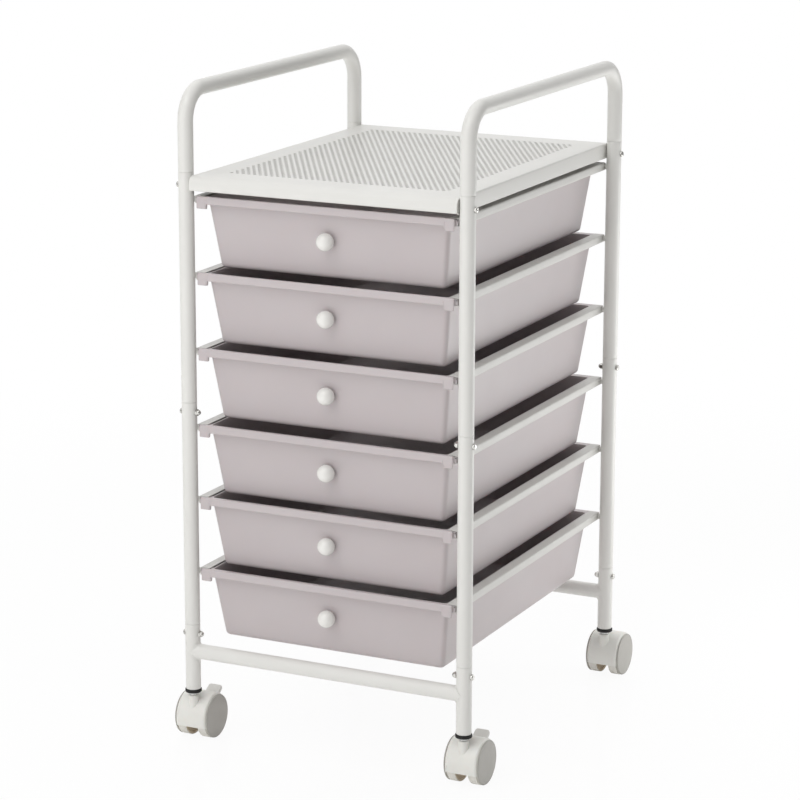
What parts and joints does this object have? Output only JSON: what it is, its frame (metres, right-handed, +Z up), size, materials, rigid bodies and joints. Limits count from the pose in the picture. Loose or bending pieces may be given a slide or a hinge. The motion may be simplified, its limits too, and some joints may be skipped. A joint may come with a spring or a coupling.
{
  "type": "drawer cart",
  "caption": "Rolling drawer cart with a white tubular frame, plastic drawers with round knobs on channel rails, a perforated top shelf between side handles, and swivel casters.",
  "frame": {"origin": "on the floor, at the centre of the bounding box: midway between the left and right posts, and the casters' trail behind the middle of the front and rear posts", "axes": "+Z up; -Y towards the front, the way the drawers open; +X to the right as seen from the front"},
  "size_m": [0.3516, 0.43, 0.6991],
  "materials": {
    "frame_paint": "satin white powder coat on steel tube and channel",
    "shelf_paint": "satin white powder coat on steel sheet",
    "drawer_plastic": "satin moulded plastic, pale mauve grey",
    "knob_plastic": "glossy white moulded plastic",
    "bright_hardware": "bright plated steel",
    "black_insert": "black moulded plastic",
    "stem_steel": "plated steel",
    "caster_plastic": "satin moulded plastic, off-white",
    "wheel_plastic": "satin moulded plastic, off-white tread and grey outer disc",
    "lever_plastic": "satin moulded plastic, light grey",
    "axle_steel": "drawn steel pin"
  },
  "bodies": {
    "frame": {"handle_left": "frame_paint", "handle_right": "frame_paint", "upper_post_front_left": "frame_paint", "lower_post_front_left": "frame_paint", "upper_post_front_right": "frame_paint", "lower_post_front_right": "frame_paint", "upper_post_rear_left": "frame_paint", "lower_post_rear_left": "frame_paint", "upper_post_rear_right": "frame_paint", "lower_post_rear_right": "frame_paint", "rail_1_left": "frame_paint", "rail_1_right": "frame_paint", "rail_2_left": "frame_paint", "rail_2_right": "frame_paint", "rail_3_left": "frame_paint", "rail_3_right": "frame_paint", "rail_4_left": "frame_paint", "rail_4_right": "frame_paint", "rail_5_left": "frame_paint", "rail_5_right": "frame_paint", "rail_6_left": "frame_paint", "rail_6_right": "frame_paint", "base_front": "frame_paint", "base_rear": "frame_paint", "top_shelf": "shelf_paint", "frame_bolts": "bright_hardware", "shelf_screws": "bright_hardware", "cap_nuts": "bright_hardware", "caster_sockets": "black_insert", "caster_stems": "stem_steel"},
    "drawer_1": {"drawer_1": "drawer_plastic", "knob_1": "knob_plastic"},
    "drawer_2": {"drawer_2": "drawer_plastic", "knob_2": "knob_plastic"},
    "drawer_3": {"drawer_3": "drawer_plastic", "knob_3": "knob_plastic"},
    "drawer_4": {"drawer_4": "drawer_plastic", "knob_4": "knob_plastic"},
    "drawer_5": {"drawer_5": "drawer_plastic", "knob_5": "knob_plastic"},
    "drawer_6": {"drawer_6": "drawer_plastic", "knob_6": "knob_plastic"},
    "caster_front_left": {"caster_hood_front_left": "caster_plastic", "caster_axle_front_left": "axle_steel"},
    "wheel_front_left_a": {"wheel_front_left_a": "wheel_plastic"},
    "wheel_front_left_b": {"wheel_front_left_b": "wheel_plastic"},
    "brake_lever_front_left": {"brake_lever_front_left": "lever_plastic"},
    "caster_front_right": {"caster_hood_front_right": "caster_plastic", "caster_axle_front_right": "axle_steel"},
    "wheel_front_right_a": {"wheel_front_right_a": "wheel_plastic"},
    "wheel_front_right_b": {"wheel_front_right_b": "wheel_plastic"},
    "brake_lever_front_right": {"brake_lever_front_right": "lever_plastic"},
    "caster_rear_left": {"caster_hood_rear_left": "caster_plastic", "caster_axle_rear_left": "axle_steel"},
    "wheel_rear_left_a": {"wheel_rear_left_a": "wheel_plastic"},
    "wheel_rear_left_b": {"wheel_rear_left_b": "wheel_plastic"},
    "caster_rear_right": {"caster_hood_rear_right": "caster_plastic", "caster_axle_rear_right": "axle_steel"},
    "wheel_rear_right_a": {"wheel_rear_right_a": "wheel_plastic"},
    "wheel_rear_right_b": {"wheel_rear_right_b": "wheel_plastic"}
  },
  "joints": [
    {"name": "drawer_1_slide", "type": "slide", "parent": "frame", "child": "drawer_1", "axis": [0, -1, 0], "range_m": [0, 0.26]},
    {"name": "drawer_2_slide", "type": "slide", "parent": "frame", "child": "drawer_2", "axis": [0, -1, 0], "range_m": [0, 0.26]},
    {"name": "drawer_3_slide", "type": "slide", "parent": "frame", "child": "drawer_3", "axis": [0, -1, 0], "range_m": [0, 0.26]},
    {"name": "drawer_4_slide", "type": "slide", "parent": "frame", "child": "drawer_4", "axis": [0, -1, 0], "range_m": [0, 0.26]},
    {"name": "drawer_5_slide", "type": "slide", "parent": "frame", "child": "drawer_5", "axis": [0, -1, 0], "range_m": [0, 0.26]},
    {"name": "drawer_6_slide", "type": "slide", "parent": "frame", "child": "drawer_6", "axis": [0, -1, 0], "range_m": [0, 0.26]},
    {"name": "caster_front_left_swivel", "type": "hinge", "parent": "frame", "child": "caster_front_left", "pos_m": [-0.157, -0.20625, 0.0503], "axis": [0, 0, 1], "continuous": true},
    {"name": "wheel_front_left_a_spin", "type": "hinge", "parent": "caster_front_left", "child": "wheel_front_left_a", "pos_m": [-0.157, -0.19025, 0.0235], "axis": [1, 0, 0], "continuous": true},
    {"name": "wheel_front_left_b_spin", "type": "hinge", "parent": "caster_front_left", "child": "wheel_front_left_b", "pos_m": [-0.157, -0.19025, 0.0235], "axis": [1, 0, 0], "continuous": true},
    {"name": "brake_lever_front_left_press", "type": "hinge", "parent": "caster_front_left", "child": "brake_lever_front_left", "pos_m": [-0.157, -0.19025, 0.0235], "axis": [1, 0, 0], "range_deg": [-14, 0]},
    {"name": "caster_front_right_swivel", "type": "hinge", "parent": "frame", "child": "caster_front_right", "pos_m": [0.157, -0.20625, 0.0503], "axis": [0, 0, 1], "continuous": true},
    {"name": "wheel_front_right_a_spin", "type": "hinge", "parent": "caster_front_right", "child": "wheel_front_right_a", "pos_m": [0.157, -0.19025, 0.0235], "axis": [1, 0, 0], "continuous": true},
    {"name": "wheel_front_right_b_spin", "type": "hinge", "parent": "caster_front_right", "child": "wheel_front_right_b", "pos_m": [0.157, -0.19025, 0.0235], "axis": [1, 0, 0], "continuous": true},
    {"name": "brake_lever_front_right_press", "type": "hinge", "parent": "caster_front_right", "child": "brake_lever_front_right", "pos_m": [0.157, -0.19025, 0.0235], "axis": [1, 0, 0], "range_deg": [-14, 0]},
    {"name": "caster_rear_left_swivel", "type": "hinge", "parent": "frame", "child": "caster_rear_left", "pos_m": [-0.157, 0.17425, 0.0503], "axis": [0, 0, 1], "continuous": true},
    {"name": "wheel_rear_left_a_spin", "type": "hinge", "parent": "caster_rear_left", "child": "wheel_rear_left_a", "pos_m": [-0.157, 0.19025, 0.0235], "axis": [1, 0, 0], "continuous": true},
    {"name": "wheel_rear_left_b_spin", "type": "hinge", "parent": "caster_rear_left", "child": "wheel_rear_left_b", "pos_m": [-0.157, 0.19025, 0.0235], "axis": [1, 0, 0], "continuous": true},
    {"name": "caster_rear_right_swivel", "type": "hinge", "parent": "frame", "child": "caster_rear_right", "pos_m": [0.157, 0.17425, 0.0503], "axis": [0, 0, 1], "continuous": true},
    {"name": "wheel_rear_right_a_spin", "type": "hinge", "parent": "caster_rear_right", "child": "wheel_rear_right_a", "pos_m": [0.157, 0.19025, 0.0235], "axis": [1, 0, 0], "continuous": true},
    {"name": "wheel_rear_right_b_spin", "type": "hinge", "parent": "caster_rear_right", "child": "wheel_rear_right_b", "pos_m": [0.157, 0.19025, 0.0235], "axis": [1, 0, 0], "continuous": true}
  ]
}
